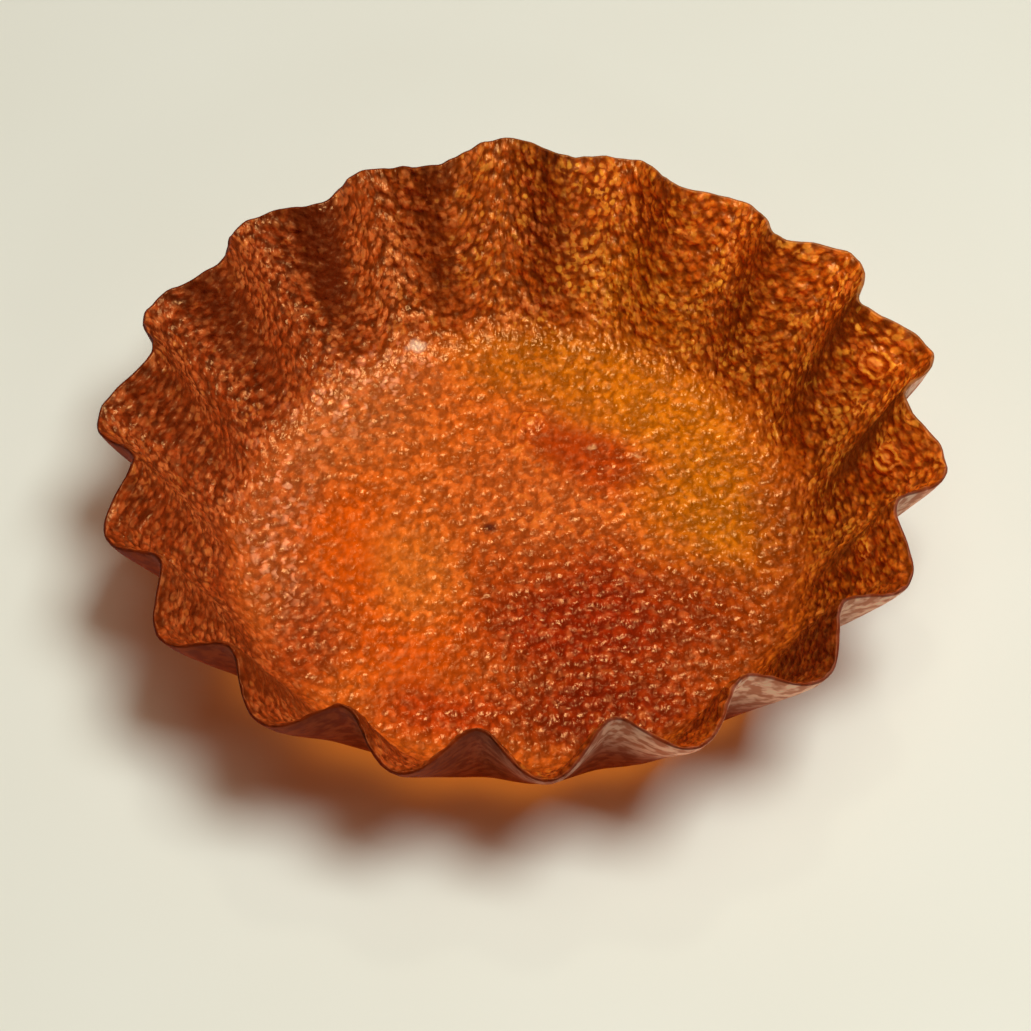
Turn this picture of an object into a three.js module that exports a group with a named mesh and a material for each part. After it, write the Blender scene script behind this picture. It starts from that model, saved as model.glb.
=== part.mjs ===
// Fluted tartlet shell: one thin sheet of dried carrot, shaped in a fluted tin.
// Millimetres, +Z up, base on z = 0, the side nearest the viewer facing -Y.
import * as THREE from 'three';
import { mergeVertices } from 'three/addons/utils/BufferGeometryUtils.js';

// Tin
const FLUTES = 18;
const FIRST_CREST_DEG = 92.5;
const BASE_RADIUS = 22.9;
const CREST_RADIUS = 32.4;
const VALLEY_RADIUS = 29.4;
const CREST_HEIGHT = 12.5;
const VALLEY_HEIGHT = 14.4;
const CREST_BREADTH = 0.06;

// Sheet
const SHEET = 0.65;
const BEND = 2.4;

// Hand shaping: waves round the rim, their size, and where the first one peaks in degrees
const OUT_OF_ROUND_MM = [[2, 0.25, -14], [3, 0.2, -24], [5, 0.22, 75]];
const DRIFT_DEG = [[1, 1.1, -77], [2, 1.0, 42]];
const SWAY_MM = [[5, 0.26, 51]];
const DEPTH_SHARE = [[3, 0.06, 88], [4, 0.07, -20]];

// Mesh
const STEPS_PER_FLUTE = 12;
const FLOOR_STEPS = 2;
const BEND_STEPS = 3;
const WALL_STEPS = 5;
const RIM_STEPS = 4;

const radians = THREE.MathUtils.degToRad;

function unevenness(waves, angle) {
  let sum = 0;
  for (const [count, size, peak] of waves) {
    sum += size * Math.cos(count * angle - radians(peak));
  }
  return sum;
}

// The wavy edge of the sheet: its radius, height and direction at one turn round the tin
function rimAt(turn) {
  const phase = FLUTES * (turn - radians(FIRST_CREST_DEG));
  const flute = Math.cos(phase) - CREST_BREADTH * (Math.cos(2 * phase) - 1);
  const depth = (CREST_RADIUS - VALLEY_RADIUS) / 2 * (1 + unevenness(DEPTH_SHARE, turn));
  const middle = (CREST_RADIUS + VALLEY_RADIUS) / 2;
  const drop = (VALLEY_HEIGHT - CREST_HEIGHT) / 2;
  return {
    radius: middle + depth * flute + unevenness(OUT_OF_ROUND_MM, turn),
    height: (CREST_HEIGHT + VALLEY_HEIGHT) / 2 - drop * flute + unevenness(SWAY_MM, turn),
    angle: turn + radians(unevenness(DRIFT_DEG, turn)),
  };
}

// Middle of the sheet: along 0 to 1 is the floor, 1 to 2 the bend, 2 to 3 the wall
function middleOfSheet(along, turn) {
  const rim = rimAt(turn);
  const floor = SHEET / 2;
  const reach = new THREE.Vector2(rim.radius - BASE_RADIUS, rim.height - floor);
  const bendEnd = BEND / reach.length();
  let radius = (BASE_RADIUS - BEND) * along;
  let height = floor;
  if (along > 2) {
    const share = bendEnd + (1 - bendEnd) * (along - 2);
    radius = BASE_RADIUS + reach.x * share;
    height = floor + reach.y * share;
  } else if (along > 1) {
    const t = along - 1;
    radius = BASE_RADIUS - BEND * (1 - t) ** 2 + reach.x * bendEnd * t ** 2;
    height = floor + reach.y * bendEnd * t ** 2;
  }
  return new THREE.Vector3(radius * Math.cos(rim.angle), radius * Math.sin(rim.angle), height);
}

// Direction up the sheet and out of its upper face
function directionsAt(along, turn) {
  const step = 1e-3;
  const last = Math.min(along + step, 3);
  const first = Math.max(last - 2 * step, 0);
  const up = middleOfSheet(last, turn).sub(middleOfSheet(first, turn)).normalize();
  if (along <= 1) {
    return { up, face: new THREE.Vector3(0, 0, 1) };
  }
  const round = middleOfSheet(along, turn + step).sub(middleOfSheet(along, turn - step));
  return { up, face: new THREE.Vector3().crossVectors(up, round).normalize() };
}

// One row of points round the section: out under the floor, up the outside, over the rim, back inside
function sectionRows() {
  const oneFace = [];
  for (let i = 0; i <= FLOOR_STEPS; i++) oneFace.push(i / FLOOR_STEPS);
  for (let i = 1; i <= BEND_STEPS; i++) oneFace.push(1 + i / BEND_STEPS);
  for (let i = 1; i <= WALL_STEPS; i++) oneFace.push(2 + i / WALL_STEPS);
  const rows = oneFace.map((along) => ({ along, lean: 0 }));
  for (let i = 1; i < RIM_STEPS; i++) rows.push({ along: 3, lean: Math.PI * i / RIM_STEPS });
  for (const along of oneFace.slice().reverse()) rows.push({ along, lean: Math.PI });
  return rows;
}

function pointOnSkin({ along, lean }, turn) {
  const { up, face } = directionsAt(along, turn);
  const point = middleOfSheet(along, turn);
  point.addScaledVector(face, -SHEET / 2 * Math.cos(lean));
  point.addScaledVector(up, SHEET / 2 * Math.sin(lean));
  return point;
}

function shellGeometry() {
  const rows = sectionRows();
  const profile = rows.map((row) => {
    const point = pointOnSkin(row, 0);
    return new THREE.Vector2(Math.hypot(point.x, point.y), point.z);
  });
  const steps = FLUTES * STEPS_PER_FLUTE;
  const lathe = new THREE.LatheGeometry(profile, steps);
  const position = lathe.getAttribute('position');
  for (let i = 0; i < position.count; i++) {
    const turn = 2 * Math.PI * (Math.floor(i / rows.length) % steps) / steps;
    const point = pointOnSkin(rows[i % rows.length], turn);
    position.setXYZ(i, point.x, point.y, point.z);
  }
  lathe.deleteAttribute('uv');
  lathe.deleteAttribute('normal');
  const shell = mergeVertices(lathe, 1e-4);
  const kept = [];
  const corners = shell.getIndex().array;
  for (let i = 0; i < corners.length; i += 3) {
    const [a, b, c] = corners.slice(i, i + 3);
    if (a !== b && b !== c && c !== a) kept.push(a, b, c);
  }
  shell.setIndex(kept);
  shell.computeBoundingBox();
  const centre = shell.boundingBox.getCenter(new THREE.Vector3());
  shell.translate(-centre.x, -centre.y, -shell.boundingBox.min.z);
  shell.computeVertexNormals();
  return shell;
}

const tartlet = new THREE.Group();
tartlet.name = 'carrot_tartlet';

const driedCarrot = new THREE.MeshStandardMaterial({ color: 0xa3541c, roughness: 0.42, metalness: 0 });
const shell = new THREE.Mesh(shellGeometry(), driedCarrot);
shell.name = 'tartlet_shell';
tartlet.add(shell);

export default tartlet;
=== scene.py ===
# Frame: the imported solid, in metres, with its base on the floor.
# Its box is kept.
import math

import bpy
import numpy as np
from mathutils import Matrix, Vector, kdtree, noise


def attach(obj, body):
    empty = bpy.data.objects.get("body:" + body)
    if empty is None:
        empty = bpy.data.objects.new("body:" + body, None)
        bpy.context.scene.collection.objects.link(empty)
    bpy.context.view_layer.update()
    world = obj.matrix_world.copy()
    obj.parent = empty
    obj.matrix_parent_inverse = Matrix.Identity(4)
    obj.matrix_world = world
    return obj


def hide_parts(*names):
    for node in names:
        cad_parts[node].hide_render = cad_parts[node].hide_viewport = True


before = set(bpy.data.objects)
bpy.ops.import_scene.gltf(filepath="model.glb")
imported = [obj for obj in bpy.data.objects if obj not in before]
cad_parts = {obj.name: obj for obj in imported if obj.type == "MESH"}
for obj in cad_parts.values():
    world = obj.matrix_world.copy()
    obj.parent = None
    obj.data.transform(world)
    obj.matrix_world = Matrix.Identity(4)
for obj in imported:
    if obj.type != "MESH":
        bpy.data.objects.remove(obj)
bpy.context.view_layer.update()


# Tartlet shell: one round sheet of dried carrot gel, thin, amber and translucent.
# It was pressed into a fluted tin while soft, so the edge drops where a flute pushes it outward.
# It stands loose on its floor. Its sizes, in millimetres, are those of the solid that it replaces.
MM = 0.001
FLUTES = 18
FIRST_CREST = math.radians(92.5)
BASE_RADIUS = 22.9
CREST_RADIUS = 32.4
VALLEY_RADIUS = 29.4
CREST_HEIGHT = 12.5
VALLEY_HEIGHT = 14.4
CREST_BREADTH = 0.06
SHEET = 0.65
BEND = 2.4

# Hand shaping: waves round the rim, their size, and where the first one peaks in degrees
OUT_OF_ROUND_MM = ((2, 0.25, -14), (3, 0.2, -24), (5, 0.22, 75))
DRIFT_DEG = ((1, 1.1, -77), (2, 1.0, 42))
SWAY_MM = ((5, 0.26, 51),)
DEPTH_SHARE = ((3, 0.06, 88), (4, 0.07, -20))

# Lengths along the flat sheet, from its centre to its edge
FLOOR_RUN = BASE_RADIUS - BEND
BEND_RUN = 4.3
WALL_RUN = 13.1
SHEET_RUN = FLOOR_RUN + BEND_RUN + WALL_RUN

# The last of the sheet dries thinner, with a ragged edge
EDGE_TAPER = 2.0
EDGE_THINNING = 0.55
EDGE_WANDER = 0.22
EDGE_WANDER_SIZE = 1.3


def unevenness(waves, turn):
    return sum(size * np.cos(count * turn - math.radians(peak)) for count, size, peak in waves)


def flute_at(turn):
    phase = FLUTES * (turn - FIRST_CREST)
    return np.cos(phase) - CREST_BREADTH * (np.cos(2 * phase) - 1)


def middle_of_sheet(along, turn):
    """Points midway through the sheet: along 0 to 1 is the floor, 1 to 2 the bend, 2 to 3 the wall."""
    flute = flute_at(turn)
    depth = (CREST_RADIUS - VALLEY_RADIUS) / 2 * (1 + unevenness(DEPTH_SHARE, turn))
    rim_radius = (CREST_RADIUS + VALLEY_RADIUS) / 2 + depth * flute + unevenness(OUT_OF_ROUND_MM, turn)
    drop = (VALLEY_HEIGHT - CREST_HEIGHT) / 2
    rim_height = (CREST_HEIGHT + VALLEY_HEIGHT) / 2 - drop * flute + unevenness(SWAY_MM, turn)
    angle = turn + np.radians(unevenness(DRIFT_DEG, turn))
    out = rim_radius - BASE_RADIUS
    up = rim_height - SHEET / 2
    bend_end = BEND / np.hypot(out, up)
    bend_share = np.clip(along - 1, 0, 1)
    wall_share = bend_end + (1 - bend_end) * np.clip(along - 2, 0, 1)
    on_bend = BASE_RADIUS - BEND * (1 - bend_share) ** 2 + out * bend_end * bend_share ** 2
    radius = np.where(along > 2, BASE_RADIUS + out * wall_share, on_bend)
    radius = np.where(along > 1, radius, FLOOR_RUN * along)
    height = np.where(along > 2, up * wall_share, up * bend_end * bend_share ** 2) + SHEET / 2
    return np.stack([radius * np.cos(angle), radius * np.sin(angle), height], axis=-1)


def unit(vectors):
    return vectors / np.maximum(np.linalg.norm(vectors, axis=-1, keepdims=True), 1e-12)


def directions_of_sheet(along, turn):
    """Unit vectors up the sheet and out of its upper face."""
    step = 1e-3
    upward = middle_of_sheet(np.minimum(along + step, 3), turn) - middle_of_sheet(along - step, turn)
    round_it = middle_of_sheet(along, turn + step) - middle_of_sheet(along, turn - step)
    flat_part = (along <= 1)[..., None]
    out_of_face = np.where(flat_part, (0.0, 0.0, 1.0), unit(np.cross(upward, round_it)))
    return unit(upward), out_of_face


def along_from_reach(reach):
    """Where on the section a point lies that is this far from the centre of the flat sheet."""
    on_bend = 1 + (reach - FLOOR_RUN) / BEND_RUN
    on_wall = 2 + (reach - FLOOR_RUN - BEND_RUN) / WALL_RUN
    along = np.where(reach < FLOOR_RUN, reach / FLOOR_RUN, on_bend)
    return np.minimum(np.where(along > 2, on_wall, along), 3.0)


def rise_from_reach(reach):
    """Nothing on the floor, one at the rim."""
    return np.clip(reach - FLOOR_RUN, 0, None) / (BEND_RUN + WALL_RUN)


def near_edge(reach):
    return np.clip(1 - (SHEET_RUN - reach) / EDGE_TAPER, 0, 1)


def half_sheet(reach):
    return SHEET / 2 * (1 - EDGE_THINNING * near_edge(reach) ** 2)


# The mesh: distance between points on each face, and the number of steps over the rim
UPPER_STEP = 0.23
LOWER_STEP = 0.8
RIM_RINGS = 5


def face_rings(step):
    """Distances from the centre of the flat sheet, and numbers of points, for the rings of one face."""
    number = round(SHEET_RUN / step)
    reaches = SHEET_RUN * np.arange(number + 1) / number
    counts = np.maximum(np.round(2 * math.pi * reaches / step).astype(int), 1)
    return list(zip(reaches, counts))


def sheet_rings(upper_face, lower_face, rim_rings):
    """Rings from the centre of the upper face, over the rim, to the centre of the lower face."""
    rings = [(reach, math.pi, count) for reach, count in upper_face]
    upper_count, lower_count = upper_face[-1][1], lower_face[-1][1]
    for k in range(1, rim_rings):
        share = k / rim_rings
        count = round(upper_count * (1 - share) + lower_count * share)
        rings.append((SHEET_RUN, math.pi * (1 - share), count))
    rings += [(reach, 0.0, count) for reach, count in reversed(lower_face)]
    return rings


def zip_rings(first, count, next_first, next_count):
    """Triangles between two rings of points that may differ in number."""
    ends = (np.arange(count) + 0.5) / count
    next_ends = (np.arange(next_count) + 0.5) / next_count
    triangles = []
    if count > 1:
        here = np.arange(count)
        after = first + (here + 1) % count
        across = np.searchsorted(next_ends, ends, side="left") % next_count
        triangles.append(np.stack([first + here, next_first + across, after], axis=1))
    if next_count > 1:
        here = np.arange(next_count)
        after = next_first + (here + 1) % next_count
        across = np.searchsorted(ends, next_ends, side="right") % count
        triangles.append(np.stack([next_first + here, after, first + across], axis=1))
    return np.concatenate(triangles)


def new_mesh_piece(name, points, triangles, attributes):
    """A smooth-shaded mesh object from arrays in millimetres, with named values at its points."""
    mesh = bpy.data.meshes.new(name)
    mesh.from_pydata((points * MM).tolist(), [], triangles.tolist())
    for label, values in attributes.items():
        kind, field = ("FLOAT_VECTOR", "vector") if values.ndim == 2 else ("FLOAT", "value")
        slot = mesh.attributes.new(label, kind, "POINT")
        slot.data.foreach_set(field, values.astype(np.float32).ravel())
    mesh.shade_smooth()
    mesh.update()
    piece = bpy.data.objects.new(name, mesh)
    bpy.context.scene.collection.objects.link(piece)
    return piece


NOISE_SHIFT = (17.3, 5.1, 9.7)


def noise_over(points, size, seed):
    """Smooth noise between -1 and 1, with lumps of about this size."""
    shift = Vector([seed * length for length in NOISE_SHIFT])
    return np.array([noise.noise(Vector(point) / size + shift) for point in points])


# The upper face dried crinkled, more finely on the floor than on the wall, and the wall a little rippled
FLOOR_CRINKLE = 0.56
FLOOR_RELIEF = 0.12
WALL_CRINKLE = 0.8
WALL_RELIEF = 0.16
GRAIN_SIZE = 0.34
GRAIN_SHARE = 0.35
GRAIN_STRETCH = (1.0, 0.8, 1.0)
RIPPLE_SIZE = 6.0
RIPPLE_HEIGHT = 0.12

# Places on the floor that dried smoother: x, y and radius
SMOOTH_PATCHES = ((4, 11, 3.4), (-12, 0, 4.0), (-9, -12, 3.6))
SMOOTHING = 0.75
LEAST_CRINKLED = 0.3


def crinkled_at(flat):
    """One over most of the sheet, less in the smoother places."""
    crinkled = np.ones(len(flat))
    for x, y, radius in SMOOTH_PATCHES:
        crinkled -= SMOOTHING * np.exp(-((flat[:, 0] - x) ** 2 + (flat[:, 1] - y) ** 2) / radius ** 2)
    return np.clip(crinkled, LEAST_CRINKLED, 1)


def crinkle_at(flat, along):
    """How far a place stands up among the crinkles, mostly between -0.6 and 0.6."""
    stretched = flat * GRAIN_STRETCH
    fine = noise_over(stretched, FLOOR_CRINKLE, seed=1)
    coarse = noise_over(flat, WALL_CRINKLE, seed=2)
    mixed = fine + (coarse - fine) * np.clip(along - 1, 0, 1)
    return (mixed + GRAIN_SHARE * noise_over(stretched, GRAIN_SIZE, seed=5)) * crinkled_at(flat)


# One flank of each flute is smoothed and darkened, its darkness painted shade: where it lies from the crest,
# and how far it reaches
FOLD_SHIFT = math.radians(8)
FOLD_SPAN = (0.4, 0.9)
FOLD_RISE = (0.2, 0.55)
FOLD_STRENGTH = 0.53
FOLD_STRENGTH_WAVES = ((3, 0.4, 12),)
FOLD_RAGGEDNESS = 0.5
FOLD_RAGGED_SIZE = 3.5
FOLD_SMOOTHING = 0.5


def fold_at(flat, turn, rise):
    """Up to about one in the middle of a smooth flank, nothing on the rest of the sheet."""
    ragged = FOLD_RAGGEDNESS * noise_over(flat, FOLD_RAGGED_SIZE, seed=9)
    across = np.cos(FLUTES * (turn - FIRST_CREST + FOLD_SHIFT)) + ragged
    strength = FOLD_STRENGTH + unevenness(FOLD_STRENGTH_WAVES, turn)
    return strength * np.interp(across, FOLD_SPAN, (0, 1)) * np.interp(rise, FOLD_RISE, (0, 1))


# A few flutes stand taller than the rest: turn and half width in degrees, and how far the rim is drawn up
TALL_FLUTES = ((92, 7, 0.75), (133, 7, 0.5), (115, 4, 0.5), (34, 6, 1.0), (13, 7, 0.6))


def stretch_at(turn, rise):
    """How far the wall is drawn up, in millimetres."""
    up = 0
    for peak, half_width, most in TALL_FLUTES:
        away = (np.degrees(turn) - peak + 180) % 360 - 180
        up = up + most * np.exp(-(away / half_width) ** 2)
    return up * rise


# Bubbles crowd the wall, and a few larger blisters sank round the middle as they dried.
# Heights are shares of the radius, and profiles run from the middle to the foot, in shares of both.
BUBBLE_SEED = 18
BUBBLE_PITCH = 0.95
BUBBLE_JITTER = 0.42
BUBBLE_RADII = (0.26, 0.62)
BUBBLE_RADII_MIX = (1.4, 2.4)
BUBBLE_HEIGHT = 0.34
BUBBLE_PROFILE = ((0.0, 1.0), (0.35, 0.93), (0.65, 0.7), (0.88, 0.3), (1.0, 0.0))
BUBBLES_FROM = FLOOR_RUN + 0.55 * BEND_RUN
BUBBLES_TO = SHEET_RUN - 0.4
BLISTER_PLACES = np.array([(33.0, 10.0), (33.6, -0.8), (31.2, -11.2), (29.6, 7.4), (0.8, 13.0)])
BLISTER_RADII = np.array([1.6, 1.25, 1.0, 0.7, 1.2])
BLISTER_HEIGHT = 0.32
BLISTER_PROFILE = ((0.0, 1.0), (0.28, 0.85), (0.5, 0.35), (0.72, 1.0), (0.88, 0.55), (1.0, 0.0))
BLISTER_CRINKLE = 0.3
RAGGEDNESS = 0.12
RAGGED_SIZE = 0.4
LOPSIDEDNESS = 0.35
LOPSIDED_SIZE = 1.2
MOUND_STRETCHES = (0.8, 1.25)
MOUND_REACH = 1.4

# How they crowd round the wall: level all round, its swing, and the loss in the smoothest part
CROWDING = 0.72
CROWDING_SWING = 0.28
MOST_BUBBLES_AT = math.radians(62)
FEWEST_BUBBLES_AT = math.radians(-42)
FEWEST_BUBBLES_SPAN = math.radians(20)
FEWEST_BUBBLES_LOSS = 0.5
LONE_BUBBLE_SIZE = 0.7
CROWDED_BUBBLE_GAIN = 0.3


def crowding_at(turn):
    """One where the bubbles crowd most, less on the other side of the wall and least in its smooth part."""
    away = (turn - FEWEST_BUBBLES_AT + math.pi) % (2 * math.pi) - math.pi
    smooth = FEWEST_BUBBLES_LOSS * np.exp(-(away / FEWEST_BUBBLES_SPAN) ** 2)
    return CROWDING + CROWDING_SWING * np.cos(turn - MOST_BUBBLES_AT) - smooth


def scatter(rng, pitch, nearest, furthest):
    """Uneven places on the flat sheet between two distances from its centre, about one pitch apart."""
    row_gap = pitch * math.sqrt(3) / 2
    rows = int(SHEET_RUN / row_gap) + 1
    row, column = np.meshgrid(np.arange(-rows, rows + 1), np.arange(-rows, rows + 1), indexing="ij")
    places = np.stack([(column + 0.5 * (row % 2)) * pitch, row * row_gap], axis=-1).reshape(-1, 2)
    places += rng.uniform(-BUBBLE_JITTER, BUBBLE_JITTER, places.shape) * pitch
    distance = np.hypot(*places.T)
    return places[(distance > nearest) & (distance < furthest)]


def mounds(rng, flat, places, radii, profile):
    """At each point of the flat sheet: share of a mound's height, and that mound's radius."""
    tree = kdtree.KDTree(len(flat))
    for index, point in enumerate(flat):
        tree.insert(point, index)
    tree.balance()
    ragged = 1 + RAGGEDNESS * noise_over(flat, RAGGED_SIZE, seed=8)
    ragged = ragged + LOPSIDEDNESS * noise_over(flat, LOPSIDED_SIZE, seed=10)
    level, size = np.zeros((2, len(flat)))
    shares, levels = np.array(profile).T
    stretches = rng.uniform(*MOUND_STRETCHES, len(places))
    spins = rng.uniform(0, math.pi, len(places))
    for place, radius, stretch, spin in zip(places, radii, stretches, spins):
        hits = tree.find_range((*place, 0), MOUND_REACH * radius)
        near = np.array([index for _, index, _ in hits], dtype=int)
        across, up = (flat[near, :2] - place).T
        along_spin = across * math.cos(spin) + up * math.sin(spin)
        across_spin = up * math.cos(spin) - across * math.sin(spin)
        distance = np.hypot(along_spin / stretch, across_spin * stretch) / radius * ragged[near]
        here = np.interp(distance, shares, levels)
        higher = here > level[near]
        raised = near[higher]
        level[raised] = here[higher]
        size[raised] = radius
    return level, size


def linear(red, green, blue):
    """A colour given as it looks on screen, 0 to 255, for a shader's socket."""
    shares = [channel / 255 for channel in (red, green, blue)]
    return tuple(s / 12.92 if s <= 0.04045 else ((s + 0.055) / 1.055) ** 2.4 for s in shares) + (1.0,)


# Colour in soft ovals on the flat sheet, each laid over those before it, most of them painted light: on the
# floor a painted orange glow and golden light where light passed through the sheet, red-brown painted shade,
# and a pale painted sheen at the far left.
# Each oval: x, y, half width, half depth, tilt in degrees, share of it that is core, share of colour, colour
SOFT = 0.2
FLOOR_AMBER = linear(215, 101, 22)
FLOOR_ZONES = (
    (-19, 1, 7, 16, 0, SOFT, 0.7, linear(182, 90, 40)),
    (-14, 15, 12, 9, 40, SOFT, 0.7, linear(194, 104, 44)),
    (4, 20, 15, 8, -10, SOFT, 0.9, linear(194, 106, 0)),
    (12.5, 14, 13, 9, -38, SOFT, 0.95, linear(212, 118, 0)),
    (15.5, 3.5, 9, 12, 5, SOFT, 0.95, linear(198, 110, 0)),
    (21.5, 0.5, 5, 10, 5, SOFT, 0.8, linear(150, 62, 4)),
    (17, -9, 9, 10, -20, SOFT, 0.8, linear(150, 58, 2)),
    (1, 4, 11, 9, -20, SOFT, 0.5, linear(200, 92, 34)),
    (4.5, -8, 17, 12, -8, SOFT, 0.9, linear(148, 22, 0)),
    (6, -17, 17, 7, 0, SOFT, 0.85, linear(132, 16, 0)),
    (-13, 0.3, 7, 9, 0, SOFT, 0.95, linear(228, 93, 0)),
    (-9.5, -9, 7, 9, 12, SOFT, 0.9, linear(224, 88, 0)),
    (-7, -16.5, 8, 5, 0, SOFT, 0.8, linear(184, 50, 0)),
    (-8.2, -2.5, 4.5, 8, 10, SOFT, 0.7, linear(232, 126, 36)),
    (-17.5, -9.5, 6, 9, -20, SOFT, 0.7, linear(160, 52, 12)),
    (5.4, 9.4, 8.4, 3.8, -43, 0.3, 0.85, linear(184, 58, 0)),
)
# The wall: brown, darker on the left as painted shade and brighter on the right as painted light shining
# through it. Its ovals: a painted golden light on the far wall, painted shade on the front right, and a
# redder near wall.
WALL_BROWN = linear(186, 82, 12)
WALL_LEFT_SHADE = linear(158, 60, 15)
WALL_LEFT_X = (0, -24)
WALL_RIGHT_LIT = linear(196, 90, 11)
WALL_RIGHT_X = (4, 24)
WALL_ZONES = (
    (10.5, 25, 9, 6, -25, SOFT, 0.65, linear(222, 118, 8)),
    (25.5, -23, 14, 8, 48, 0.4, 0.85, linear(116, 38, 8)),
    (0, -30, 26, 13, 0, SOFT, 0.85, linear(162, 48, 6)),
)
WALL_TONE_RISE = (0.03, 0.26)
ZONE_WANDER = 1.6
ZONE_WANDER_SIZE = 6.0

# Small marks, given in the same way: a dark speck, and paler dots that are painted glints
MARKS = (
    (-2.4, 1.8, 0.9, 0.75, 0, SOFT, 0.85, linear(64, 16, 18)),
    (-8.8, 21.0, 1.2, 0.7, 10, SOFT, 0.85, linear(255, 226, 190)),
    (6.1, 10.2, 0.5, 0.4, 20, SOFT, 0.8, linear(255, 200, 130)),
    (9.7, 9.0, 0.5, 0.4, -30, SOFT, 0.8, linear(255, 200, 130)),
)
MARK_WANDER = 0.4
MARK_WANDER_SIZE = 0.5

# Where the grains carry a pale painted sheen, where flecks turn pink, and where the outside pales towards
# the rim and the right as a painted reflection of the lit floor
SHEEN_STREAKS = ((-13.5, 16.5, 11, 5.5, 40, SOFT), (-19.5, 3.0, 5, 13, 0, SOFT))
PINK_X = (12, -16)
OUTSIDE_REFLECTION_X = (-8, 20)
OUTSIDE_REFLECTION_RISE = (0.4, 0.95)

# How far a place counts as a crest, lit by painted light, with painted shade in hollows and at each mound's
# foot: on a mound from its foot up, and among the crinkles
MOUND_FOOT_CREST = 0.15
MOUND_CREST_GAIN = 0.85
FOLD_CREST_GAIN = 0.3
CRINKLE_CREST = 0.45
CRINKLE_CREST_GAIN = 1.1

# How golden the wall's beads are, in clusters, and how far grains and beads are crumpled
GOLD = 0.58
GOLD_SWING = 0.9
GOLD_CLUSTER_SIZE = 3.5
BLISTER_GOLD = 1.35
CRUMPLE_SIZE = 0.5
CRUMPLE_RISE = (0.0, 0.3)
GRAIN_CRUMPLE = (0.45, 0.25)
BEAD_CRUMPLE = 0.125


def smooth_step(values, low, high):
    """Nothing at the first limit, one at the second, and a smooth rise between."""
    share = np.clip((values - low) / (high - low), 0, 1)
    return share ** 2 * (3 - 2 * share)


def oval_share(places, x, y, wide, deep, tilt, core):
    """One in the core of a soft oval on the flat sheet, falling to nothing at its edge."""
    across, up = (places[:, :2] - (x, y)).T
    cosine, sine = math.cos(math.radians(tilt)), math.sin(math.radians(tilt))
    distance = np.hypot((across * cosine + up * sine) / wide, (up * cosine - across * sine) / deep)
    return smooth_step(distance, 1.0, core)


def pushed_aside(places, distance, lump, seed):
    """The same places on the flat sheet, each moved aside unevenly."""
    moves = [noise_over(places, lump, seed), noise_over(places, lump, seed + 1), 0 * places[:, 0]]
    return places + distance * np.stack(moves, axis=1)


def blend(base, share, colour):
    return base + (np.asarray(colour)[..., :3] - base) * share[:, None]


def with_zones(tone, places, zones):
    for *oval, share, colour in zones:
        tone = blend(tone, share * oval_share(places, *oval), colour)
    return tone


def tone_at(places, rise):
    """The sheet's base colour before grains and beads, with the painted glow, light and shade of its ovals
    and of the wall's sides.
    """
    floor = np.tile(FLOOR_AMBER[:3], (len(places), 1))
    floor = with_zones(floor, places, FLOOR_ZONES)
    wall = np.tile(WALL_BROWN[:3], (len(places), 1))
    wall = blend(wall, smooth_step(places[:, 0], *WALL_LEFT_X), WALL_LEFT_SHADE)
    wall = blend(wall, smooth_step(places[:, 0], *WALL_RIGHT_X), WALL_RIGHT_LIT)
    wall = with_zones(wall, places, WALL_ZONES)
    return blend(floor, smooth_step(rise, *WALL_TONE_RISE), wall)


def marks_at(places):
    """How far a small mark covers each place, and that mark's colour."""
    cover = np.zeros(len(places))
    tone = np.zeros((len(places), 3))
    for *oval, share, colour in MARKS:
        here = share * oval_share(places, *oval)
        tone[here > cover] = colour[:3]
        cover = np.maximum(cover, here)
    return cover, tone


# The bare sheet: lean is half a turn on the upper face and nothing on the lower
rings = sheet_rings(face_rings(UPPER_STEP), face_rings(LOWER_STEP), RIM_RINGS)
counts = np.array([count for _, _, count in rings])
firsts = np.concatenate([[0], np.cumsum(counts)[:-1]])
reach = np.repeat([ring[0] for ring in rings], counts)
lean = np.repeat([ring[1] for ring in rings], counts)
turn = np.concatenate([2 * math.pi * np.arange(count) / count for count in counts])
along = along_from_reach(reach)
rise = rise_from_reach(reach)
upward, out_of_face = directions_of_sheet(along, turn)
half = half_sheet(reach)
skin = middle_of_sheet(along, turn)
skin -= (half * np.cos(lean))[:, None] * out_of_face
skin += (half * np.sin(lean))[:, None] * upward
centre = (skin.min(axis=0) + skin.max(axis=0)) / 2 * (1, 1, 0)

# Its relief
flat = np.stack([reach * np.cos(turn), reach * np.sin(turn), 0 * reach], axis=1)
inside = np.clip((1 - np.cos(lean)) / 2, 0, 1)
draw = np.random.default_rng(BUBBLE_SEED)
places = scatter(draw, BUBBLE_PITCH, BUBBLES_FROM, BUBBLES_TO)
radii = np.interp(draw.beta(*BUBBLE_RADII_MIX, len(places)), (0, 1), BUBBLE_RADII)
crowding = crowding_at(np.arctan2(places[:, 1], places[:, 0]))
radii *= LONE_BUBBLE_SIZE + CROWDED_BUBBLE_GAIN * crowding
level, size = mounds(draw, flat, places, radii, BUBBLE_PROFILE)
blister_level, blister_size = mounds(draw, flat, BLISTER_PLACES, BLISTER_RADII, BLISTER_PROFILE)
blistered = blister_size > 0
blister_lift = BLISTER_HEIGHT * blister_level * blister_size
fold = np.where(blistered, 0, fold_at(flat, turn, rise))
crinkle = crinkle_at(flat, along) * np.where(blistered, BLISTER_CRINKLE, 1 - FOLD_SMOOTHING * fold)
lift = np.where(blistered, blister_lift, BUBBLE_HEIGHT * level * size) * (1 - fold)
relief = crinkle * np.interp(along, (1, 2), (FLOOR_RELIEF, WALL_RELIEF)) + lift
ripple = RIPPLE_HEIGHT * noise_over(flat, RIPPLE_SIZE, seed=3) * np.clip(along - 1, 0, 1)
wander = EDGE_WANDER * noise_over(flat, EDGE_WANDER_SIZE, seed=4) * near_edge(reach)
skin += (relief * inside + ripple)[:, None] * out_of_face
skin += (wander + stretch_at(turn, rise))[:, None] * upward

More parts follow.
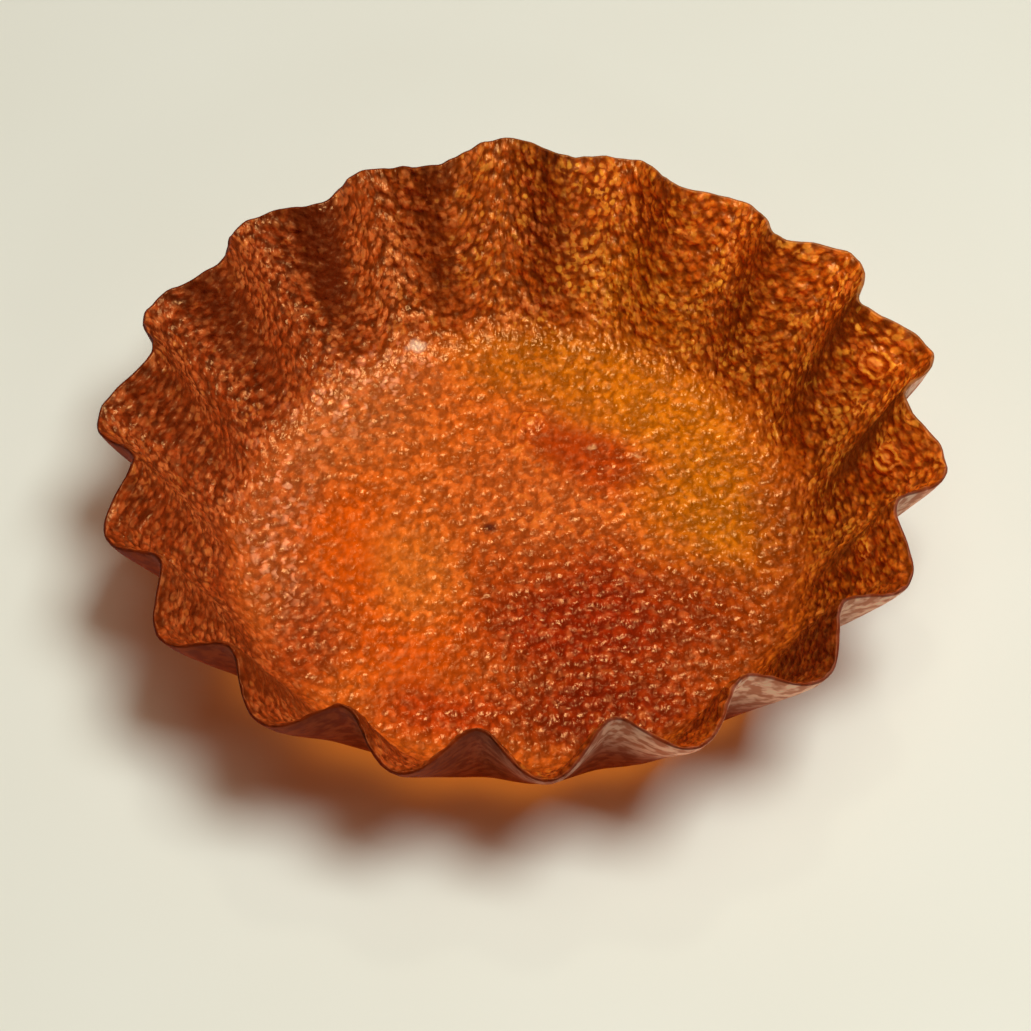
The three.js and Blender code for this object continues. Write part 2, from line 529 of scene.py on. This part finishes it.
# Values for its material
level = np.where(blistered, blister_level, level) * (1 - fold)
mound_crest = MOUND_FOOT_CREST + MOUND_CREST_GAIN * level + FOLD_CREST_GAIN * fold
crinkle_crest = CRINKLE_CREST + CRINKLE_CREST_GAIN * crinkle
crest = np.clip(np.where((size > 0) | blistered, mound_crest, crinkle_crest), 0, 1)
# Golden clusters, thinned by the crowding: most golden on the far right as painted light shining through the
# wall, fewest in the smooth front right as painted shade
clusters = noise_over(flat, GOLD_CLUSTER_SIZE, seed=6)
gold = np.clip(GOLD + GOLD_SWING * clusters, 0, 1) * crowding_at(turn)
wandering = pushed_aside(flat, ZONE_WANDER, ZONE_WANDER_SIZE, seed=11)
mark, mark_tone = marks_at(pushed_aside(flat, MARK_WANDER, MARK_WANDER_SIZE, seed=13))
crumples = pushed_aside(flat, 1.0, CRUMPLE_SIZE, seed=15) - flat
grain_crumple = np.interp(rise, CRUMPLE_RISE, GRAIN_CRUMPLE)

pairs = zip(firsts[:-1], counts[:-1], firsts[1:], counts[1:])
shell = new_mesh_piece(
    "tartlet_shell_sheet",
    skin - centre,
    np.concatenate([zip_rings(*pair) for pair in pairs]),
    {
        "flat": flat,
        "inside": inside,
        "edge": np.sin(lean),
        "rise": rise,
        "fold": fold,
        "crinkled": crinkled_at(flat),
        "crest": crest,
        "gold": np.where(blistered, BLISTER_GOLD, gold),
        "tone": tone_at(wandering, rise),
        "sheen_streak": np.max([oval_share(wandering, *streak) for streak in SHEEN_STREAKS], axis=0),
        "pink": smooth_step(wandering[:, 0], *PINK_X),
        "outside_reflection": smooth_step(wandering[:, 0], *OUTSIDE_REFLECTION_X) * smooth_step(rise, *OUTSIDE_REFLECTION_RISE),
        "mark": mark,
        "mark_tone": mark_tone,
        "grain_place": flat * GRAIN_STRETCH + crumples * grain_crumple[:, None],
        "bead_place": flat + BEAD_CRUMPLE * crumples,
    },
)


def add_node(tree, kind, inputs, **settings):
    """A new node with its settings, and its inputs set to values or linked to sockets."""
    node = tree.nodes.new(kind)
    for name, value in settings.items():
        setattr(node, name, value)
    for name, value in inputs.items():
        if isinstance(value, bpy.types.NodeSocket):
            tree.links.new(value, node.inputs[name])
        else:
            node.inputs[name].default_value = value
    return node


def point_value(tree, label, output="Fac"):
    return add_node(tree, "ShaderNodeAttribute", {}, attribute_name=label).outputs[output]


def arithmetic(tree, operation, *terms, clamp=False):
    inputs = dict(enumerate(terms))
    return add_node(tree, "ShaderNodeMath", inputs, operation=operation, use_clamp=clamp).outputs[0]


def product(tree, first, *others):
    for other in others:
        first = arithmetic(tree, "MULTIPLY", first, other)
    return first


def mix_colours(tree, share, first, second, blend="MIX"):
    inputs = {0: share, 6: first, 7: second}
    return add_node(tree, "ShaderNodeMix", inputs, data_type="RGBA", blend_type=blend).outputs[2]


def ramp(tree, value, span, levels=(0.0, 1.0)):
    """Smoothly from the first level to the second while the value crosses the span."""
    names = ("From Min", "From Max", "To Min", "To Max")
    inputs = {"Value": value, **dict(zip(names, (*span, *levels)))}
    return add_node(tree, "ShaderNodeMapRange", inputs, interpolation_type="SMOOTHSTEP").outputs[0]


def flat_noise(tree, where, scale, detail):
    inputs = {"Vector": where, "Scale": scale, "Detail": detail}
    return add_node(tree, "ShaderNodeTexNoise", inputs, noise_dimensions="2D").outputs["Fac"]


def flat_cells(tree, where, scale):
    """Distance from the middle of the nearest cell, and three random values of that cell."""
    inputs = {"Vector": where, "Scale": scale}
    cells = add_node(tree, "ShaderNodeTexVoronoi", inputs, voronoi_dimensions="2D")
    chances = add_node(tree, "ShaderNodeSeparateXYZ", {0: cells.outputs["Color"]})
    return cells.outputs["Distance"], chances.outputs


# Spans that several ramps of the material share: of a share, a noise, a cell's chance, the edge, the rise
WHOLE = (0.0, 1.0)
NOISE_SPAN = (0.3, 0.7)
BRIGHT_CHANCE = (0.2, 1.0)
EDGE_SPAN = (0.2, 0.9)
BEADS_RISE = (0.08, 0.3)
GRAINS_RISE = (0.05, 0.3)

# Grain tone, and painted light and shade of the upper face: on crests, in the dark gaps between the wall's
# beads, and on the dark smooth folds
GRAIN_SCALE = 2.0
GRAIN_DETAIL = 1.5
GRAIN_SHADES = (0.88, 1.12)
CREST_SPAN = (0.15, 0.85)
CREST_SHADES = (0.68, 1.18)
BEAD_SCALE = 1.32
BEAD_GAPS = (0.2, 0.62)
BEAD_GAP_SHADES = (0.16, -0.38)
BEADLESS_GOLD = (1.3, 1.0)
FOLD_SHADE = linear(110, 34, 6)
FOLD_COVER = 0.85

# Golden to pink flecks, painted highlights in the beads' golden colour: the crowns of the brightest beads,
# and the crests between them
FLECK_GOLD = linear(255, 188, 58)
FLECK_PINK = linear(246, 150, 76)
FLECK_PINKNESS = (0.4, 1.4)
FLECK_GRAIN = 0.5
FLECK_SPAN = (0.88, 1.14)
FLECK_LEVELS = (1.0, 0.65)
BEAD_RADII = (0.3, 0.56)
BEAD_CROWN = 0.4
GOLDEN_RISE = (0.0, 0.3)
GOLDEN_LEVELS = (0.15, 0.95)

# Painted glints on the tops of bright grains on the floor, paler where the painted sheen lies
GRAIN_CELL_SCALE = 1.35
GRAIN_RADII = (0.3, 0.65)
GRAIN_CROWN = 0.08
SPARKLE = linear(162, 102, 54)
SPARKLE_SHEEN = linear(222, 176, 134)
SPARKLE_LEVELS = (0.55, 0.3)
SHEEN_STREAK_GAIN = 0.5

# The outside, mottled, with painted shade on the left and a pale painted reflection on the right; and the
# rim, brown with a painted golden highlight at the far right
OUTSIDE_DARK = linear(122, 42, 15)
OUTSIDE_BROWN = linear(150, 66, 34)
OUTSIDE_PINK = linear(200, 132, 100)
OUTSIDE_PALE = linear(252, 216, 190)
MOTTLE_SCALE = 0.9
MOTTLE_DETAIL = 2.0
MOTTLE_SPAN = (0.36, 0.64)
EDGE_BROWN = linear(126, 42, 8)
EDGE_HIGHLIGHT = linear(200, 130, 50)
FAR_RIGHT = (0.7, 0.7, 0.0)
EDGE_HIGHLIGHT_SPAN = (18, 34)
EDGE_HIGHLIGHT_LEVELS = (0.0, 0.6)
EDGE_COVER = (0.0, 0.85)

# Gloss: levels for the outside then the inside, for the sheet then its edge, or for the floor then the wall
ROUGHNESS = (0.5, 0.24)
ROUGHNESS_MOTTLE = (0.0, 0.12)
ROUGHNESS_WALL = (0.0, 0.08)
GLOSS = (0.15, 1.0)
GLOSS_LOSS_AT_EDGE = (0.0, 0.6)
LEAST_GLOSS = 0.1
GLINT_GOLD = (1.0, 0.56, 0.22, 1.0)
PORE_SCALE = 1.5
PORE_DETAIL = 1.5
PORE_LEVELS = (0.1, 1.0)
PORE_DEPTH = 0.34 * MM

# Light through the sheet: its share, how bright it comes out, raised on the golden flecks as painted glow
# and lowered on the painted-shade folds, and how it tints the shadow
THROUGH_SHARE = 0.28
THROUGH_GAIN = 1.7
THROUGH_GOLD = 1.4
THROUGH_FOLD = -1.3
LEAST_THROUGH = 0.3
SHADOW_FLOOR = (0.70, 0.37, 0.07, 1.0)
SHADOW_WALL = (0.36, 0.17, 0.04, 1.0)
SHADOW_RISE = (0.1, 0.5)


def dried_carrot_material():
    material = bpy.data.materials.new("dried_carrot")
    material.use_nodes = True
    tree = material.node_tree
    tree.nodes.clear()
    where = point_value(tree, "flat", "Vector")
    inside = point_value(tree, "inside")
    rise = point_value(tree, "rise")
    edge = point_value(tree, "edge")
    crest = point_value(tree, "crest")
    gold = point_value(tree, "gold")
    fold = point_value(tree, "fold")
    crinkled = point_value(tree, "crinkled")
    sheen_streak = point_value(tree, "sheen_streak")

    stretch = {0: where, 1: GRAIN_STRETCH}
    stretched = add_node(tree, "ShaderNodeVectorMath", stretch, operation="MULTIPLY").outputs[0]
    grain = flat_noise(tree, stretched, GRAIN_SCALE, GRAIN_DETAIL)
    bead_place = point_value(tree, "bead_place", "Vector")
    from_bead, bead_chances = flat_cells(tree, bead_place, BEAD_SCALE)
    on_wall = product(tree, ramp(tree, rise, BEADS_RISE), ramp(tree, gold, BEADLESS_GOLD))
    # Painted shade in the gaps between the wall's beads, and painted light on crests with painted shade in
    # hollows
    gap_shade = ramp(tree, from_bead, BEAD_GAPS, BEAD_GAP_SHADES)
    gap_shade = arithmetic(tree, "MULTIPLY_ADD", on_wall, gap_shade, 1.0)
    grain_shade = ramp(tree, grain, NOISE_SPAN, GRAIN_SHADES)
    shade = product(tree, grain_shade, ramp(tree, crest, CREST_SPAN, CREST_SHADES), gap_shade)
    upper = mix_colours(tree, 1.0, point_value(tree, "tone", "Color"), shade, "MULTIPLY")
    # Painted shade on the smooth flank of each flute
    upper = mix_colours(tree, product(tree, fold, FOLD_COVER), upper, FOLD_SHADE)

    grain_place = point_value(tree, "grain_place", "Vector")
    from_grain, grain_chances = flat_cells(tree, grain_place, GRAIN_CELL_SCALE)
    pinkness = arithmetic(tree, "ADD", point_value(tree, "pink"), grain_chances["Y"])
    fleck_colour = mix_colours(tree, ramp(tree, pinkness, FLECK_PINKNESS), FLECK_GOLD, FLECK_PINK)
    # Painted highlights on the crowns of the brightest beads and on the crests
    bead_foot = ramp(tree, bead_chances["Z"], WHOLE, BEAD_RADII)
    bead = ramp(tree, from_bead, (bead_foot, product(tree, bead_foot, BEAD_CROWN)))
    unfolded = arithmetic(tree, "SUBTRACT", 1.0, fold, clamp=True)
    bright_bead = product(tree, bead, on_wall, unfolded, ramp(tree, bead_chances["X"], BRIGHT_CHANCE))
    fleck = ramp(tree, arithmetic(tree, "MULTIPLY_ADD", grain, FLECK_GRAIN, crest), FLECK_SPAN)
    fleck = product(tree, fleck, ramp(tree, rise, BEADS_RISE, FLECK_LEVELS))
    golden = product(tree, gold, arithmetic(tree, "MAXIMUM", fleck, bright_bead))
    golden = product(tree, golden, ramp(tree, rise, GOLDEN_RISE, GOLDEN_LEVELS))
    upper = mix_colours(tree, golden, upper, fleck_colour)

    # Painted glints on the floor's grain tops, paler in the painted sheen streaks
    grain_foot = ramp(tree, grain_chances["Z"], WHOLE, GRAIN_RADII)
    grain_top = ramp(tree, from_grain, (grain_foot, GRAIN_CROWN))
    sparkle = product(tree, grain_top, ramp(tree, grain_chances["X"], BRIGHT_CHANCE))
    sparkle = product(tree, sparkle, ramp(tree, rise, GRAINS_RISE, SPARKLE_LEVELS))
    sparkle = product(tree, sparkle, arithmetic(tree, "MULTIPLY_ADD", sheen_streak, SHEEN_STREAK_GAIN, crinkled))
    upper = mix_colours(tree, sparkle, upper, mix_colours(tree, sheen_streak, SPARKLE, SPARKLE_SHEEN), "ADD")
    # A dark speck, and paler dots that are painted glints
    upper = mix_colours(tree, point_value(tree, "mark"), upper, point_value(tree, "mark_tone", "Color"))

    # The outside: mottled, with painted shade on its left and a pale painted reflection on its right
    cloud = flat_noise(tree, where, MOTTLE_SCALE, MOTTLE_DETAIL)
    mottle = ramp(tree, cloud, MOTTLE_SPAN)
    dark_side = mix_colours(tree, mottle, OUTSIDE_DARK, OUTSIDE_BROWN)
    pale_side = mix_colours(tree, mottle, OUTSIDE_PINK, OUTSIDE_PALE)
    lower = mix_colours(tree, point_value(tree, "outside_reflection"), dark_side, pale_side)
    colour = mix_colours(tree, inside, lower, upper)
    # The rim: brown, with a painted golden highlight towards the far right
    way = {0: where, 1: FAR_RIGHT}
    far_right = add_node(tree, "ShaderNodeVectorMath", way, operation="DOT_PRODUCT").outputs["Value"]
    rim_highlight = ramp(tree, far_right, EDGE_HIGHLIGHT_SPAN, EDGE_HIGHLIGHT_LEVELS)
    rim = mix_colours(tree, rim_highlight, EDGE_BROWN, EDGE_HIGHLIGHT)
    colour = mix_colours(tree, ramp(tree, edge, EDGE_SPAN, EDGE_COVER), colour, rim)

    cloudiness = ramp(tree, cloud, NOISE_SPAN, ROUGHNESS_MOTTLE)
    roughness = arithmetic(tree, "ADD", ramp(tree, inside, WHOLE, ROUGHNESS), cloudiness)
    roughness = arithmetic(tree, "ADD", roughness, ramp(tree, rise, GRAINS_RISE, ROUGHNESS_WALL))
    edge_loss = ramp(tree, edge, EDGE_SPAN, GLOSS_LOSS_AT_EDGE)
    gloss = arithmetic(tree, "SUBTRACT", ramp(tree, inside, WHOLE, GLOSS), edge_loss)
    gloss = arithmetic(tree, "MAXIMUM", gloss, LEAST_GLOSS)
    pores = flat_noise(tree, stretched, PORE_SCALE, PORE_DETAIL)
    pitted = product(tree, pores, ramp(tree, inside, WHOLE, PORE_LEVELS), crinkled)
    bump = add_node(tree, "ShaderNodeBump", {"Height": pitted, "Strength": 1.0, "Distance": PORE_DEPTH})
    body = add_node(
        tree,
        "ShaderNodeBsdfPrincipled",
        {
            "Base Color": colour,
            "Roughness": roughness,
            "Specular IOR Level": gloss,
            "Specular Tint": GLINT_GOLD,
            "Normal": bump.outputs[0],
        },
    )

    gain = arithmetic(tree, "MULTIPLY_ADD", golden, THROUGH_GOLD, THROUGH_GAIN)
    gain = arithmetic(tree, "MULTIPLY_ADD", fold, THROUGH_FOLD, gain)
    gain = arithmetic(tree, "MAXIMUM", gain, LEAST_THROUGH)
    glowing = add_node(tree, "ShaderNodeHueSaturation", {"Color": colour, "Value": gain}).outputs[0]
    glow = add_node(tree, "ShaderNodeBsdfTranslucent", {"Color": glowing}).outputs[0]
    sheet = add_node(tree, "ShaderNodeMixShader", {0: THROUGH_SHARE, 1: body.outputs[0], 2: glow}).outputs[0]
    tint = mix_colours(tree, ramp(tree, rise, SHADOW_RISE), SHADOW_FLOOR, SHADOW_WALL)
    passing = add_node(tree, "ShaderNodeBsdfTransparent", {"Color": tint}).outputs[0]
    in_shadow = add_node(tree, "ShaderNodeLightPath", {}).outputs["Is Shadow Ray"]
    surface = add_node(tree, "ShaderNodeMixShader", {0: in_shadow, 1: sheet, 2: passing}).outputs[0]
    add_node(tree, "ShaderNodeOutputMaterial", {"Surface": surface})
    return material


dried_carrot = dried_carrot_material()
shell.data.materials.append(dried_carrot)
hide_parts("tartlet_shell")
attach(shell, "root")


# Floor: a plain pale table top, matt and level, that the shell stands on.
# It is one square, far wider than the view, with a faint cloudiness in its colour.
FLOOR_HALF_SIZE = 2.0
FLOOR_PALE = linear(216, 216, 203)
FLOOR_PALER = linear(220, 221, 210)
FLOOR_CLOUD_SCALE = 40.0
FLOOR_CLOUD_DETAIL = 2.0
FLOOR_ROUGHNESS = 0.7


def pale_floor():
    half = FLOOR_HALF_SIZE
    corners = [(-half, -half, 0), (half, -half, 0), (half, half, 0), (-half, half, 0)]
    mesh = bpy.data.meshes.new("pale_floor")
    mesh.from_pydata(corners, [], [(0, 1, 2, 3)])
    floor = bpy.data.objects.new("pale_floor", mesh)
    bpy.context.scene.collection.objects.link(floor)
    material = bpy.data.materials.new("pale_floor")
    material.use_nodes = True
    tree = material.node_tree
    body = tree.nodes["Principled BSDF"]
    position = add_node(tree, "ShaderNodeNewGeometry", {}).outputs["Position"]
    inputs = {"Vector": position, "Scale": FLOOR_CLOUD_SCALE, "Detail": FLOOR_CLOUD_DETAIL}
    cloud = add_node(tree, "ShaderNodeTexNoise", inputs).outputs["Fac"]
    tree.links.new(mix_colours(tree, cloud, FLOOR_PALE, FLOOR_PALER), body.inputs["Base Color"])
    body.inputs["Roughness"].default_value = FLOOR_ROUGHNESS
    mesh.materials.append(material)
    return floor


pale_floor()


# Light: a broad soft lamp above, a smaller and stronger one high on the right, and a dim warm room.
# Two small weak lamps, one behind and one in front, give the glints.
# Each lamp: name, place and width in metres, power in watts, tint
LAMPS = (
    ("lamp_above", (0.04, -0.01, 0.60), 0.40, 0.72, (1.0, 0.92, 0.76)),
    ("lamp_right", (0.18, -0.055, 0.54), 0.25, 3.2, (1.0, 0.98, 0.95)),
    ("lamp_back", (0.06, 0.30, 0.52), 0.05, 0.2, (1.0, 0.88, 0.72)),
    ("lamp_front", (0.16, -0.50, 0.27), 0.045, 0.12, (1.0, 0.95, 0.88)),
)
ROOM_TINT = (1.0, 0.9, 0.72, 1.0)
ROOM_STRENGTH = 0.015


def soft_lamp(name, place, size, watts, tint):
    light = bpy.data.lights.new(name, "AREA")
    light.size = size
    light.energy = watts
    light.color = tint
    lamp = bpy.data.objects.new(name, light)
    lamp.location = place
    lamp.rotation_euler = Vector(place).to_track_quat("Z", "Y").to_euler()
    bpy.context.scene.collection.objects.link(lamp)


for lamp_values in LAMPS:
    soft_lamp(*lamp_values)

room = bpy.data.worlds.new("room")
room.use_nodes = True
room.node_tree.nodes["Background"].inputs["Color"].default_value = ROOM_TINT
room.node_tree.nodes["Background"].inputs["Strength"].default_value = ROOM_STRENGTH
bpy.context.scene.world = room
bpy.context.scene.view_settings.view_transform = "Standard"


# Camera: looks down on the shell from the front through a long lens, a little rolled.
# Its place and lens were fitted to the wavy rim in the photograph; lengths are in metres, the lens in mm.
CAMERA_ELEVATION = math.radians(49.57)
CAMERA_ROLL = math.radians(-1.78)
CAMERA_DISTANCE = 0.311
CAMERA_TARGET = Vector((-0.00043, -0.00758, 0.0129))
CAMERA_LENS = 143.4


def camera_at_photo_angle():
    forward = Vector((0, math.cos(CAMERA_ELEVATION), -math.sin(CAMERA_ELEVATION)))
    level_right = Vector((1, 0, 0))
    level_up = level_right.cross(forward)
    right = math.cos(CAMERA_ROLL) * level_right + math.sin(CAMERA_ROLL) * level_up
    up = right.cross(forward)
    data = bpy.data.cameras.new("camera")
    data.lens = CAMERA_LENS
    camera = bpy.data.objects.new("camera", data)
    turned = Matrix((right, up, -forward)).transposed().to_4x4()
    camera.matrix_world = Matrix.Translation(CAMERA_TARGET - CAMERA_DISTANCE * forward) @ turned
    bpy.context.scene.collection.objects.link(camera)
    return camera


bpy.context.scene.camera = camera_at_photo_angle()
